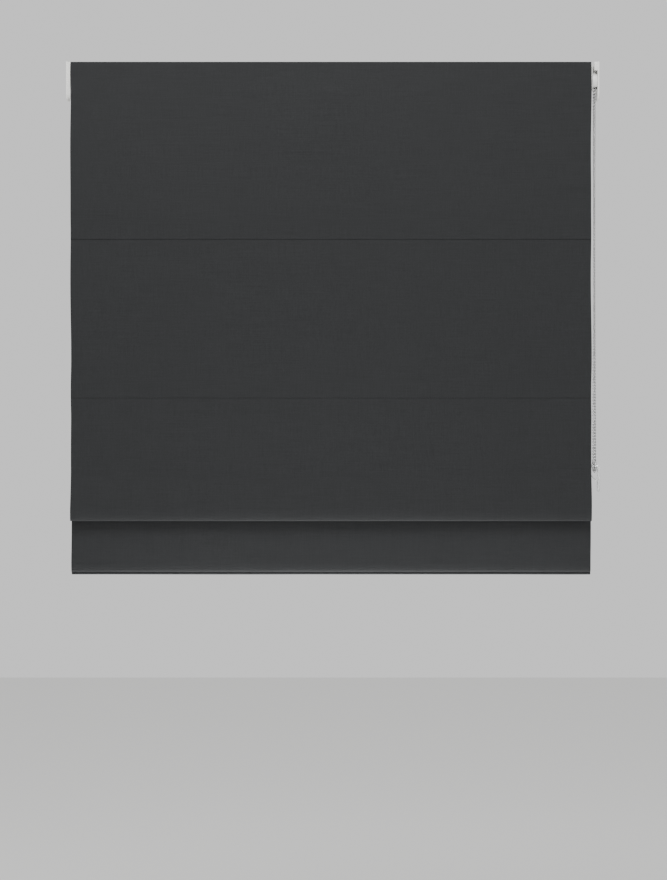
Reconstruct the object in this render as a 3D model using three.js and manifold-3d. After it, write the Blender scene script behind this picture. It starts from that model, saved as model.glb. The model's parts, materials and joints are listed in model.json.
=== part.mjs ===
// A flat Roman blind for a window recess, half raised: a head with a chain drive, a fabric
// that folds between four cross rods, and a beaded chain held by a safety tidy.
// Millimetres. +X is the blind's right seen from the room, +Y points to the window, +Z is up.
// The origin is on the top face of the middle bracket, where the blind meets the lintel.
import * as THREE from "three";
import { mergeVertices } from "three/addons/utils/BufferGeometryUtils.js";
import Module from "manifold-3d";

// ---- Driving dimensions ----------------------------------------------------------------
const headWidth = 1070;          // outside of one end plate to outside of the other
const fabricInsetLeft = 8.7;     // head's left end to the fabric's left edge
const fabricInsetRight = 16.3;   // head's right end to the fabric's right edge
const fabricThickness = 1.4;
const firstDrop = 350;           // lintel to the first rod, measured down the fabric
const pleat = 318;               // fabric between one rod and the next
const flapLength = 157;          // fabric below the last rod
const restDropThird = 189;       // how far the third rod hangs below the second, as stored
const restDropFourth = 16;       // how far the fourth rod hangs below the third, as stored
const gap = 0.3;                 // clearance between pieces that touch

const railDepth = 40;
const railHeight = 48;
const railWall = 1.5;
const railLip = 8;               // inward lips of the open top, wall included
const bracketThickness = 3.7;
const plateHeight = 75;          // end plates
const plateDepth = 50;
const leftPlateWidth = 7.7;
const rightPlateWidth = 3.6;

const shaftDrop = 38;            // lintel to the shaft's axis
const shaftAcrossFlats = 6;
const spoolRadius = 9;
const spoolFlangeRadius = 10.5;
const spoolLength = 28;
const journalRadius = 5;
const journalLength = 4.3;
const cordDiameter = 1.4;
const cordSpread = 430;          // outer lift cords, each side of the fabric's middle

const rodDiameter = 4;
const pocketWall = 1;
const ringOuterRadius = 5;
const ringInnerRadius = 2.6;
const ringThickness = 1.8;

const chainDiameter = 4.5;
const chainPitchRadius = 11.5;   // twelve beads of 6 mm round the wheel
const chainDrop = 825;           // lintel to the bottom of the chain loop
const chainTwist = 15;           // degrees that the loop turns between the wheel and the tidy
const chainInset = 8.4;          // head's right end to the chain's plane
const guardRadius = 18.5;
const guardWidth = 9;
const guardWall = 1;
const tidyTop = 811;
const tidyHeight = 52;
const tidyWidth = 17.4;
const tidyDepth = 26;
const wallGap = 2;               // head's right end to the reveal that the tidy is fixed to

const barHeight = 24;
const barThickness = 3;

// ---- Places worked out from them -------------------------------------------------------
const headLeft = -headWidth / 2;
const headRight = headWidth / 2;
const fabricLeft = headLeft + fabricInsetLeft;
const fabricRight = headRight - fabricInsetRight;
const fabricMiddle = (fabricLeft + fabricRight) / 2;
const railLeft = headLeft + leftPlateWidth + gap;
const railRight = fabricRight;
const railTop = -bracketThickness - gap;
const railBottom = railTop - railHeight;
const railFront = -railDepth / 2;
const railBack = railDepth / 2;

const tapeThickness = 1.2;
const tapeHeight = 25;
const tapeInset = 4;             // below the rail's top
const tapeTop = railTop - tapeInset;
const hookTapeFront = railFront - gap - tapeThickness;
const loopTapeFront = hookTapeFront - gap - tapeThickness;

// The fabric hangs in planes that step back a little at each rod, so that one section can be
// drawn up behind the one above it.
const planeStep = 2;             // between sections that hang straight
const hairpinWidth = 2.6;        // fabric turned over the top of a raised rod
const foldStep = 2 * fabricThickness + hairpinWidth; // behind a section that is folded
const flapStep = 10;
const frontPlane = loopTapeFront - gap - fabricThickness / 2;
const planes = [frontPlane, frontPlane + planeStep, frontPlane + 2 * planeStep];
planes.push(planes[2] + foldStep);
planes.push(planes[3] + flapStep);

const rodDrops = [firstDrop, firstDrop + pleat];
rodDrops.push(rodDrops[1] + restDropThird);
rodDrops.push(rodDrops[2] + restDropFourth);
const creaseDrops = [
  rodDrops[0],
  rodDrops[1],
  rodDrops[1] + (pleat + restDropThird) / 2,
  rodDrops[2] + (pleat + restDropFourth) / 2,
];
const hemDrop = rodDrops[3] + flapLength;
const clearUnderRod = 6;         // half the strip of fabric in front of a rod
const lapOverRod = 4;            // the next section starts this far above the rod, behind the strip
const headStop = 70;             // how near the lintel the first rod can come
const drawMargin = 14;           // fabric left to bend below the stiff part of the first section
const stiffLength = [firstDrop - (firstDrop - headStop) / 2 - drawMargin, 150, 140, 146];
const bendWidth = 7;             // between the two layers at the bottom of a fold
const bendHeight = 14;
const foldStand = 14;            // how far the upper fold stands in front of its section
const lowerFoldStand = 2.4;
const foldForward = planes[2] - foldStand;   // front layer of the upper fold
const lowerFoldForward = planes[3] - lowerFoldStand;

const pocketRadius = rodDiameter / 2 + gap + pocketWall;
const pocketPlane = (k) => planes[k + 1] + fabricThickness / 2 + gap + pocketRadius;
const ringPlane = (k) => pocketPlane(k) + pocketRadius + ringOuterRadius - 1.2;
const cordPlane = ringPlane(0) - 2;
const shaftY = cordPlane + spoolRadius + cordDiameter / 2 + gap;
const cordPlaces = { left: fabricMiddle - cordSpread, mid: fabricMiddle, right: fabricMiddle + cordSpread };
const bracketSpread = 400;       // outer brackets, each side of the middle one
const bracketPlaces = { left: -bracketSpread, mid: 0, right: bracketSpread };
const chainX = headRight - chainInset;
const wallX = headRight + wallGap;

// ---- Materials -------------------------------------------------------------------------
const finish = (color, roughness, metalness = 0) =>
  new THREE.MeshStandardMaterial({ color, roughness, metalness });
const fabric = finish(0x3b3d3f, 0.9);
const whitePlastic = finish(0xd9d9d4, 0.45);
const clearPlastic = finish(0xdfe0dc, 0.25);
const aluminium = finish(0xc4c6c8, 0.35, 0.9);
const steel = finish(0xb8babd, 0.3, 1);
const chrome = finish(0xc9cbce, 0.2, 1);
const tape = finish(0xe6e5e0, 0.9);
const fibreglass = finish(0xe9e7df, 0.5);
const cordWhite = finish(0xe4e2da, 0.8);
const springSteel = finish(0x8f9194, 0.35, 1);

const blind = new THREE.Group();
function put(name, geometry, material) {
  const mesh = new THREE.Mesh(geometry, material);
  mesh.name = name;
  blind.add(mesh);
}

// ---- Shapes ----------------------------------------------------------------------------
const wasm = await Module();
wasm.setup();

function solid(geometry) {
  const plain = geometry.clone();
  plain.deleteAttribute("normal");
  plain.deleteAttribute("uv");
  const merged = mergeVertices(plain, 1e-4);
  const vertProperties = new Float32Array(merged.attributes.position.array);
  const triVerts = new Uint32Array(merged.index.array);
  return new wasm.Manifold(new wasm.Mesh({ numProp: 3, vertProperties, triVerts }));
}

function geometryOf(manifold) {
  const mesh = manifold.getMesh();
  const geometry = new THREE.BufferGeometry();
  geometry.setAttribute("position", new THREE.BufferAttribute(mesh.vertProperties, 3));
  geometry.setIndex(new THREE.BufferAttribute(mesh.triVerts, 1));
  return geometry;
}

const joined = (first, ...rest) => geometryOf(rest.reduce((all, g) => all.add(solid(g)), solid(first)));
const cut = (first, ...rest) => geometryOf(rest.reduce((all, g) => all.subtract(solid(g)), solid(first)));

function box(x0, x1, y0, y1, z0, z1) {
  const geometry = new THREE.BoxGeometry(x1 - x0, y1 - y0, z1 - z0);
  return geometry.translate((x0 + x1) / 2, (y0 + y1) / 2, (z0 + z1) / 2);
}

function roundX(x0, x1, y, z, radius, sides = 16) {
  const geometry = new THREE.CylinderGeometry(radius, radius, x1 - x0, sides);
  return geometry.rotateZ(Math.PI / 2).translate((x0 + x1) / 2, y, z);
}

function roundZ(x, y, z0, z1, radius, sides = 12) {
  const geometry = new THREE.CylinderGeometry(radius, radius, z1 - z0, sides);
  return geometry.rotateX(Math.PI / 2).translate(x, y, (z0 + z1) / 2);
}

// A profile of [radius, x] pairs turned about the shaft's axis, or about one parallel to it.
function turnedX(profile, z, sides = 18) {
  const points = profile.map(([radius, x]) => new THREE.Vector2(radius, -x)).reverse();
  const geometry = new THREE.LatheGeometry(points, sides);
  return geometry.rotateZ(Math.PI / 2).translate(0, shaftY, z);
}

// A shape drawn in Y and Z and extruded from x0 to x1.
function extrudedX(shape, x0, x1) {
  const options = { depth: x1 - x0, bevelEnabled: false, curveSegments: 5 };
  const geometry = new THREE.ExtrudeGeometry(shape, options);
  const turn = new THREE.Matrix4().makeBasis(
    new THREE.Vector3(0, 1, 0),
    new THREE.Vector3(0, 0, 1),
    new THREE.Vector3(1, 0, 0),
  );
  return geometry.applyMatrix4(turn).translate(x0, 0, 0);
}

// The outline of a sheet whose middle follows a path of [y, z] points.
function sheetOutline(path, thickness) {
  const middle = path.map(([y, z]) => new THREE.Vector2(y, z));
  const near = [];
  const far = [];
  middle.forEach((point, i) => {
    const before = middle[Math.max(i - 1, 0)];
    const after = middle[Math.min(i + 1, middle.length - 1)];
    const along = after.clone().sub(before).normalize();
    const across = new THREE.Vector2(-along.y, along.x).multiplyScalar(thickness / 2);
    near.push(point.clone().add(across));
    far.push(point.clone().sub(across));
  });
  return new THREE.Shape([...near, ...far.reverse()]);
}

const sheet = (path, x0 = fabricLeft, x1 = fabricRight) =>
  extrudedX(sheetOutline(path, fabricThickness), x0, x1);

function arcPath(y, z, radius, from, to, steps) {
  return Array.from({ length: steps + 1 }, (_, i) => {
    const angle = THREE.MathUtils.lerp(from, to, i / steps);
    return [y + radius * Math.cos(angle), z + radius * Math.sin(angle)];
  });
}

// Points that ease from one place to another, as hanging fabric does.
function easedPath([y0, z0], [y1, z1], steps) {
  return Array.from({ length: steps + 1 }, (_, i) => {
    const share = i / steps;
    return [y0 + (y1 - y0) * THREE.MathUtils.smoothstep(share, 0, 1), z0 + (z1 - z0) * share];
  });
}

// A tube swept along a closed or open run of [x, y, z] points that never turns along X.
function tube(points, radius, sides, closed) {
  const count = points.length;
  const run = points.map((point) => new THREE.Vector3(...point));
  const position = [];
  run.forEach((point, i) => {
    const before = closed ? run[(i + count - 1) % count] : run[Math.max(i - 1, 0)];
    const after = closed ? run[(i + 1) % count] : run[Math.min(i + 1, count - 1)];
    const along = after.clone().sub(before).normalize();
    const across = new THREE.Vector3(1, 0, 0).addScaledVector(along, -along.x).normalize();
    const out = across.clone().cross(along);
    for (let s = 0; s < sides; s += 1) {
      const angle = (2 * Math.PI * s) / sides;
      const corner = point.clone().addScaledVector(out, radius * Math.cos(angle))
        .addScaledVector(across, radius * Math.sin(angle));
      position.push(...corner.toArray());
    }
  });
  const index = [];
  const rings = closed ? count : count - 1;
  for (let i = 0; i < rings; i += 1) {
    for (let s = 0; s < sides; s += 1) {
      const a = i * sides + s;
      const b = i * sides + ((s + 1) % sides);
      const c = ((i + 1) % count) * sides + s;
      const d = ((i + 1) % count) * sides + ((s + 1) % sides);
      index.push(a, b, c, b, d, c);
    }
  }
  if (!closed) {
    for (let s = 1; s < sides - 1; s += 1) {
      const last = (count - 1) * sides;
      index.push(0, s + 1, s, last, last + s, last + s + 1);
    }
  }
  const geometry = new THREE.BufferGeometry();
  geometry.setAttribute("position", new THREE.Float32BufferAttribute(position, 3));
  geometry.setIndex(index);
  return geometry;
}

// ---- Headrail and what is fixed to it --------------------------------------------------
function headrail() {
  const outline = new THREE.Shape([
    [railFront, railBottom], [railBack, railBottom], [railBack, railTop],
    [railBack - railLip, railTop], [railBack - railLip, railTop - railWall],
    [railBack - railWall, railTop - railWall], [railBack - railWall, railBottom + railWall],
    [railFront + railWall, railBottom + railWall], [railFront + railWall, railTop - railWall],
    [railFront + railLip, railTop - railWall], [railFront + railLip, railTop],
    [railFront, railTop],
  ].map(([y, z]) => new THREE.Vector2(y, z)));
  const holes = Object.values(cordPlaces).map((x) =>
    roundZ(x, cordPlane, railBottom - 1, railBottom + railWall + 1, 3));
  return cut(extrudedX(outline, railLeft, railRight), ...holes);
}
put("headrail", headrail(), aluminium);
put("hook_tape", box(railLeft + 2, railRight, hookTapeFront, hookTapeFront + tapeThickness,
  tapeTop - tapeHeight, tapeTop), tape);
put("loop_tape", box(fabricLeft + 2, fabricRight - 2, loopTapeFront, loopTapeFront + tapeThickness,
  tapeTop - tapeHeight, tapeTop), tape);

function plateOutline(y0, y1, z0, z1, corner) {
  const shape = new THREE.Shape();
  shape.moveTo(y0, z1);
  shape.lineTo(y0, z0 + corner);
  shape.absarc(y0 + corner, z0 + corner, corner, Math.PI, 1.5 * Math.PI, false);
  shape.lineTo(y1 - corner, z0);
  shape.absarc(y1 - corner, z0 + corner, corner, -Math.PI / 2, 0, false);
  shape.lineTo(y1, z1);
  return shape;
}
const plateFront = frontPlane - fabricThickness / 2 - 1;
const plateBack = plateFront + plateDepth;
const plugLength = 14;
const bearingRadius = 8;
const shaftZ = -shaftDrop;
const plugClearance = railWall + gap;
const plugTop = railTop - 18;

// The left plate has two ridges with a groove between them, and a plug that fits the rail.
function leftPlate() {
  const ridge = 3.1;
  const outline = plateOutline(plateFront, plateBack, -plateHeight, 0, 10);
  const core = plateOutline(plateFront + 1.5, plateBack - 1.5, 1.5 - plateHeight, -1.5, 9);
  const inner = plateOutline(plateFront + 0.5, plateBack - 0.5, 0.5 - plateHeight, -0.5, 9.5);
  const plug = box(headLeft + leftPlateWidth - 1, railLeft + plugLength, railFront + plugClearance,
    railBack - plugClearance, railBottom + plugClearance, plugTop);
  const bore = roundX(headLeft + ridge, railLeft + plugLength + 1, shaftY, shaftZ, bearingRadius + gap);
  return geometryOf(
    solid(extrudedX(outline, headLeft, headLeft + ridge))
      .add(solid(extrudedX(core, headLeft + 1, headLeft + leftPlateWidth - 1)))
      .add(solid(extrudedX(inner, headLeft + leftPlateWidth - ridge, headLeft + leftPlateWidth)))
      .add(solid(plug))
      .subtract(solid(bore)),
  );
}
put("end_plate_left", leftPlate(), whitePlastic);

const hexRadius = shaftAcrossFlats / Math.sqrt(3);
const shaftBore = hexRadius + gap;
const ring = (inner, outer, x0, x1) =>
  turnedX([[inner, x0], [outer, x0], [outer, x1], [inner, x1], [inner, x0]], shaftZ);
put("idle_bearing", ring(shaftBore, bearingRadius, railLeft + 1, railLeft + plugLength), whitePlastic);

// The right plate carries a square block under the lintel, in line with the rail's top.
const guardLeft = chainX - guardWidth / 2;
const rightPlateLeft = headRight - rightPlateWidth;
const blockHeight = 17;
function rightPlate() {
  const outline = plateOutline(plateFront, plateBack, -plateHeight, 0, 10);
  const block = box(guardLeft + 2.8, rightPlateLeft + 1, plateFront + 2, plateBack - 2, -blockHeight, 0);
  return joined(extrudedX(outline, rightPlateLeft, headRight), block);
}
put("end_plate_right", rightPlate(), whitePlastic);

// The guard is a shell round the chain wheel, open towards the plate, with a way out below
// for each side of the chain.
function chainGuard() {
  const shell = roundX(guardLeft, rightPlateLeft - gap, shaftY, shaftZ, guardRadius, 28);
  const hollow = roundX(guardLeft + guardWall, rightPlateLeft, shaftY, shaftZ, guardRadius - guardWall, 28);
  const hubHole = roundX(guardLeft - 1, guardLeft + guardWall + 1, shaftY, shaftZ, journalRadius + gap);
  const halfSlot = chainDiameter / 2 + 0.6;
  const slots = [-1, 1].map((side) => {
    const y = shaftY + side * chainPitchRadius;
    return box(chainX - halfSlot, rightPlateLeft + 1, y - halfSlot, y + halfSlot,
      shaftZ - guardRadius - 1, shaftZ - 3);
  });
  return cut(shell, hollow, hubHole, ...slots);
}
put("chain_guard", chainGuard(), whitePlastic);

// ---- Clutch at the right-hand end of the rail ------------------------------------------
const clutchLength = 28;
const hubRadius = 8.6;
const springWall = 1.2;
const springOuter = hubRadius + gap + springWall;
function clutchHousing() {
  const plug = box(railRight - clutchLength, railRight + 1, railFront + plugClearance,
    railBack - plugClearance, railBottom + plugClearance, plugTop);
  const flange = box(railRight + gap, guardLeft - gap, railFront + 0.5, railBack - 0.5,
    railBottom + 0.5, railTop - 0.5);
  const bore = roundX(railRight - clutchLength - 1, guardLeft + 1, shaftY, shaftZ, springOuter + gap);
  return geometryOf(solid(plug).add(solid(flange)).subtract(solid(bore)));
}
put("clutch_housing", clutchHousing(), whitePlastic);
put("clutch_spring", ring(hubRadius + gap, springOuter, railRight - clutchLength + 4, railRight - 4),
  springSteel);
const hubRight = guardLeft - gap;
put("clutch_hub", ring(shaftBore, hubRadius, railRight - clutchLength + 1, hubRight), steel);

// ---- Drive shaft, spools and the cradles they turn in ----------------------------------
const shaftLeft = railLeft + 2;
const shaftRight = hubRight - 3;
put("drive_shaft", roundX(shaftLeft, shaftRight, shaftY, shaftZ, hexRadius, 6), aluminium);

function chainWheel() {
  const halfGroove = chainDiameter / 2 + gap;
  const groove = chainPitchRadius - chainDiameter / 2 - gap;
  const rim = chainPitchRadius + 1.4;
  const halfWheel = guardWidth / 2 - guardWall - gap;
  return turnedX([
    [0, hubRight + gap], [journalRadius, hubRight + gap], [journalRadius, chainX - halfWheel],
    [rim, chainX - halfWheel], [rim, chainX - halfGroove], [groove, chainX - halfGroove],
    [groove, chainX + halfGroove], [rim, chainX + halfGroove], [rim, chainX + halfWheel],
    [journalRadius, chainX + halfWheel], [0, chainX + halfWheel],
  ], shaftZ, 24);
}
put("chain_wheel", chainWheel(), whitePlastic);

function cordSpool(x) {
  const half = spoolLength / 2;
  const flange = 1.6;
  const end = half + journalLength;
  return turnedX([
    [shaftBore, x - end], [journalRadius, x - end], [journalRadius, x - half],
    [spoolFlangeRadius, x - half], [spoolFlangeRadius, x - half + flange],
    [spoolRadius, x - half + flange + 1], [spoolRadius, x + half - flange - 1],
    [spoolFlangeRadius, x + half - flange], [spoolFlangeRadius, x + half],
    [journalRadius, x + half], [journalRadius, x + end], [shaftBore, x + end], [shaftBore, x - end],
  ], shaftZ);
}

function spoolCradle(x) {
  const wallNear = spoolLength / 2 + gap;
  const wallFar = wallNear + journalLength - 2 * gap;
  const floorTop = shaftZ - spoolFlangeRadius - gap;
  const floorBottom = railBottom + railWall + gap;
  const halfDepth = journalRadius + 5;
  const floor = box(x - wallFar, x + wallFar, railFront + plugClearance, shaftY + halfDepth,
    floorBottom, floorTop);
  const walls = [[-wallFar, -wallNear], [wallNear, wallFar]].map(([a, b]) =>
    box(x + a, x + b, shaftY - halfDepth, shaftY + halfDepth, floorBottom, shaftZ + 2));
  const seat = roundX(x - wallFar - 1, x + wallFar + 1, shaftY, shaftZ, journalRadius + gap);
  const mouth = box(x - wallFar - 1, x + wallFar + 1, shaftY - journalRadius - gap,
    shaftY + journalRadius + gap, shaftZ, shaftZ + 3);
  const cordHole = roundZ(x, cordPlane, floorBottom - 1, floorTop + 1, 2);
  return geometryOf(
    solid(floor).add(solid(walls[0])).add(solid(walls[1]))
      .subtract(solid(seat)).subtract(solid(mouth)).subtract(solid(cordHole)),
  );
}

// ---- Mounting brackets: a plate under the lintel and a cam that locks in the rail's top -
const bracketHalfWidth = 26;
const screwOffset = 20;
const camThickness = 2;
const camNeck = 6;
function bracketPlate(x) {
  const plate = box(x - bracketHalfWidth, x + bracketHalfWidth, railFront + 1, railBack - 1,
    -bracketThickness, 0);
  return cut(plate, roundZ(x + screwOffset, 0, -bracketThickness - 1, 1, 2.3));
}
function bracketCam(x) {
  const slotHalf = railBack - railLip;
  const top = -bracketThickness - gap;
  const wingTop = railTop - railWall - gap;
  const wings = box(x - 5, x + 5, -slotHalf - 2.5, slotHalf + 2.5, wingTop - camThickness, wingTop);
  return joined(roundZ(x, 0, wingTop - camThickness, top, camNeck), wings);
}
function bracketScrew(x) {
  const head = roundZ(x + screwOffset, 0, -bracketThickness - gap - 2.2, -bracketThickness - gap, 3.5);
  return joined(head, roundZ(x + screwOffset, 0, -bracketThickness - 1, -gap, 2));
}

for (const side of ["left", "mid", "right"]) {
  put(`cord_spool_${side}`, cordSpool(cordPlaces[side]), whitePlastic);
  put(`spool_cradle_${side}`, spoolCradle(cordPlaces[side]), whitePlastic);
  put(`bracket_${side}`, bracketPlate(bracketPlaces[side]), steel);
  put(`bracket_cam_${side}`, bracketCam(bracketPlaces[side]), whitePlastic);
  put(`bracket_screw_${side}`, bracketScrew(bracketPlaces[side]), steel);
}

// ---- Fabric ----------------------------------------------------------------------------
// Each section has a stretch that keeps its shape however high the blind is, a stretch that is
// drawn up into the fold, and the fold's own bend.
const straight = (y, from, to) => [[y, -from], [y, -to]];
put("panel_0", sheet(straight(planes[0], gap, stiffLength[0])), fabric);
put("draw_0", sheet(straight(planes[0], stiffLength[0] + gap, creaseDrops[0] - clearUnderRod - gap)),
  fabric);
put("crease_0", sheet(straight(planes[0], creaseDrops[0] - clearUnderRod, creaseDrops[0] + clearUnderRod)),
  fabric);
for (const k of [1, 2]) {
  const top = rodDrops[k - 1] - lapOverRod;
  const foot = rodDrops[k - 1] + clearUnderRod + stiffLength[k];
  put(`panel_${k}`, sheet(straight(planes[k], top, foot)), fabric);
}
put("draw_1", sheet(straight(planes[1], rodDrops[0] + clearUnderRod + stiffLength[1] + gap,
  creaseDrops[1] - clearUnderRod - gap)), fabric);
put("crease_1", sheet(straight(planes[1], creaseDrops[1] - clearUnderRod, creaseDrops[1] + clearUnderRod)),
  fabric);
put("draw_2", sheet(easedPath([planes[2], -(rodDrops[1] + clearUnderRod + stiffLength[2] + gap)],
  [foldForward, -(creaseDrops[2] - bendHeight - gap)], 8)), fabric);

// The bend at the bottom of a fold: down the front layer, round, and up the back layer.
function foldBend(y, crease) {
  const radius = bendWidth / 2;
  const low = -crease + fabricThickness / 2 + radius;
  return sheet([
    [y, -crease + bendHeight],
    ...arcPath(y + radius, low, radius, Math.PI, 2 * Math.PI, 8),
    [y + bendWidth, -crease + bendHeight],
  ]);
}
put("crease_2", foldBend(foldForward, creaseDrops[2]), fabric);
put("crease_3", foldBend(lowerFoldForward, creaseDrops[3]), fabric);

// Fabric turned over the top of a raised rod, and what hangs from it on the window side.
const hairpinFoot = 4;
function hairpin(k) {
  const radius = hairpinWidth / 2;
  const top = -rodDrops[k - 1] + 1;
  return [
    [planes[k] - hairpinWidth, top - hairpinFoot],
    ...arcPath(planes[k] - radius, top, radius, Math.PI, 0, 6),
  ];
}
put("panel_3", sheet([...hairpin(3), ...easedPath([planes[3], -rodDrops[2] - hairpinFoot],
  [lowerFoldForward, -(creaseDrops[3] - bendHeight - gap)], 8)]), fabric);
for (const k of [2, 3]) {
  const foot = (k === 2 ? foldForward : lowerFoldForward) + bendWidth;
  const top = [planes[k + 1] - hairpinWidth, -rodDrops[k] + 1 - hairpinFoot - gap];
  put(`back_${k}`, sheet(easedPath([foot, -(creaseDrops[k] - bendHeight - gap)], top, 8)), fabric);
}

// The flap ends in a hem that holds the bottom bar. The hem is open at both ends.
const hemWall = fabricThickness;
const hemHalfDepth = barThickness / 2 + gap + hemWall;
function flap() {
  const hemTop = -hemDrop + barHeight + 2 * gap + 2 * hemWall;
  const hang = sheetOutline([...hairpin(4), [planes[4], hemTop - hemWall / 2]], fabricThickness);
  const hem = new THREE.Shape([
    new THREE.Vector2(planes[4] - hemHalfDepth, -hemDrop),
    new THREE.Vector2(planes[4] + hemHalfDepth, -hemDrop),
    new THREE.Vector2(planes[4] + hemHalfDepth, hemTop),
    new THREE.Vector2(planes[4] - hemHalfDepth, hemTop),
  ]);
  const pocket = new THREE.Path([
    new THREE.Vector2(planes[4] - hemHalfDepth + hemWall, -hemDrop + hemWall),
    new THREE.Vector2(planes[4] - hemHalfDepth + hemWall, hemTop - hemWall),
    new THREE.Vector2(planes[4] + hemHalfDepth - hemWall, hemTop - hemWall),
    new THREE.Vector2(planes[4] + hemHalfDepth - hemWall, -hemDrop + hemWall),
  ]);
  hem.holes.push(pocket);
  return joined(extrudedX(hang, fabricLeft, fabricRight), extrudedX(hem, fabricLeft, fabricRight));
}
put("flap", flap(), fabric);

const barInset = 8;
const barBottom = -hemDrop + hemWall + gap;
put("bottom_bar", box(fabricLeft + barInset, fabricRight - barInset, planes[4] - barThickness / 2,
  planes[4] + barThickness / 2, barBottom, barBottom + barHeight), aluminium);
const capPlaces = { left: [fabricLeft, fabricLeft + barInset - gap],
  right: [fabricRight - barInset + gap, fabricRight] };
for (const [side, [x0, x1]] of Object.entries(capPlaces)) {
  put(`bar_cap_${side}`, box(x0, x1, planes[4] - barThickness / 2, planes[4] + barThickness / 2,
    barBottom, barBottom + barHeight), whitePlastic);
}

// ---- Rods, their pockets with the cord rings, and the lift cords ------------------------
function rodPocket(k) {
  const y = pocketPlane(k);
  const z = -rodDrops[k];
  const sleeve = roundX(fabricLeft + 3, fabricRight - 3, y, z, pocketRadius, 12);
  const bore = roundX(fabricLeft + 2, fabricRight - 2, y, z, pocketRadius - pocketWall, 12);
  const eyes = Object.values(cordPlaces).map((x) =>
    solid(roundZ(x, ringPlane(k), z - ringThickness / 2, z + ringThickness / 2, ringOuterRadius)));
  const holes = Object.values(cordPlaces).map((x) =>
    solid(roundZ(x, ringPlane(k), z - ringThickness, z + ringThickness, ringInnerRadius)));
  const whole = eyes.reduce((all, eye) => all.add(eye), solid(sleeve)).subtract(solid(bore));
  return geometryOf(holes.reduce((all, hole) => all.subtract(hole), whole));
}
for (const k of [0, 1, 2, 3]) {
  put(`rod_pocket_${k + 1}`, rodPocket(k), fabric);
  put(`rod_${k + 1}`, roundX(fabricLeft + 8, fabricRight - 8, pocketPlane(k), -rodDrops[k],
    rodDiameter / 2, 12), fibreglass);
}

// Each cord leaves its spool, passes the rings and ends in a knot under the last one.
function liftCord(x) {
  const stops = [
    [x, cordPlane, shaftZ], [x, cordPlane, railBottom - 8],
    ...[0, 1, 2, 3].map((k) => [x, ringPlane(k), -rodDrops[k]]),
    [x, ringPlane(3), -rodDrops[3] - 5],
  ];
  const knot = new THREE.SphereGeometry(3.2, 10, 8).translate(x, ringPlane(3), -rodDrops[3] - 5);
  return joined(tube(stops, cordDiameter / 2, 8, false), knot);
}
for (const [side, x] of Object.entries(cordPlaces)) {
  put(`lift_cord_${side}`, liftCord(x), cordWhite);
}

// ---- Chain and its safety tidy ---------------------------------------------------------
// The chain hangs from the wheel in a loop that turns a little about its own middle on the way
// down, so that both its sides can be seen from the room.
const loopBottomZ = -chainDrop + chainDiameter / 2 + chainPitchRadius;
const loopTurn = THREE.MathUtils.degToRad(chainTwist);
const turnedPoint = (angle) => ([y, z]) =>
  [chainX + (y - shaftY) * Math.sin(angle), shaftY + (y - shaftY) * Math.cos(angle), z];
function chainLoop() {
  const top = arcPath(shaftY, shaftZ, chainPitchRadius, 0, Math.PI, 12).map(turnedPoint(0));
  const bottom = arcPath(shaftY, loopBottomZ, chainPitchRadius, Math.PI, 2 * Math.PI, 12);
  const steps = 10;
  const side = (y, downward) => Array.from({ length: steps - 1 }, (_, i) => {
    const share = downward ? (i + 1) / steps : 1 - (i + 1) / steps;
    return turnedPoint(loopTurn * share)([y, THREE.MathUtils.lerp(shaftZ, loopBottomZ, share)]);
  });
  return tube([
    ...top, ...side(shaftY - chainPitchRadius, true),
    ...bottom.map(turnedPoint(loopTurn)), ...side(shaftY + chainPitchRadius, false),
  ], chainDiameter / 2, 8, true);
}
put("bead_chain", chainLoop(), chrome);

// The tidy is a plate on the reveal. It carries the pulley that the chain runs round, and an arm
// that reaches under the loop so that the chain cannot be pulled away.
const pulleyHalf = chainDiameter / 2 + 1;
const pulleyGroove = chainPitchRadius - chainDiameter / 2 - gap;
const pulleyRim = pulleyGroove + 1.5;
const plateFace = chainX + pulleyHalf + pulleyRim * Math.sin(loopTurn) + gap;
const axleRadius = 2;
const tidyScrewZ = -tidyTop - tidyHeight + 5;
const armRadius = 1.3;
const turnedWithLoop = (geometry) =>
  geometry.translate(-chainX, -shaftY, 0).rotateZ(-loopTurn).translate(chainX, shaftY, 0);
function tidyBody() {
  const shape = new THREE.Shape();
  const [y0, y1] = [shaftY - tidyDepth / 2, shaftY + tidyDepth / 2];
  const [z0, z1] = [-tidyTop - tidyHeight, -tidyTop];
  const corner = 9;
  shape.moveTo(y0 + corner, z0);
  shape.absarc(y1 - corner, z0 + corner, corner, -Math.PI / 2, 0, false);
  shape.absarc(y1 - corner, z1 - corner, corner, 0, Math.PI / 2, false);
  shape.absarc(y0 + corner, z1 - corner, corner, Math.PI / 2, Math.PI, false);
  shape.absarc(y0 + corner, z0 + corner, corner, Math.PI, 1.5 * Math.PI, false);
  const axleBore = turnedWithLoop(
    roundX(chainX, wallX - 1.5, shaftY, loopBottomZ, axleRadius + gap));
  const screwBore = roundX(plateFace - 1, wallX + 1, shaftY, tidyScrewZ, 1.8);
  const headRecess = roundX(plateFace - 1, wallX - 2, shaftY, tidyScrewZ, 3.8);
  const armEnd = new THREE.Vector3(wallX - tidyWidth, shaftY, -chainDrop - 5);
  const armRoot = new THREE.Vector3(wallX - 2, shaftY, -chainDrop - 20);
  const along = armRoot.clone().sub(armEnd);
  const arm = new THREE.CylinderGeometry(armRadius, armRadius, along.length(), 10);
  const lean = new THREE.Quaternion().setFromUnitVectors(new THREE.Vector3(0, 1, 0),
    along.clone().normalize());
  arm.applyQuaternion(lean).translate(...armEnd.clone().add(armRoot).multiplyScalar(0.5).toArray());
  const plate = solid(extrudedX(shape, plateFace, wallX)).add(solid(arm));
  return geometryOf([axleBore, screwBore, headRecess].reduce((all, g) => all.subtract(solid(g)), plate));
}
put("chain_tidy_body", tidyBody(), clearPlastic);
const [pulleyLeft, pulleyRight] = [chainX - pulleyHalf, chainX + pulleyHalf];
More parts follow.
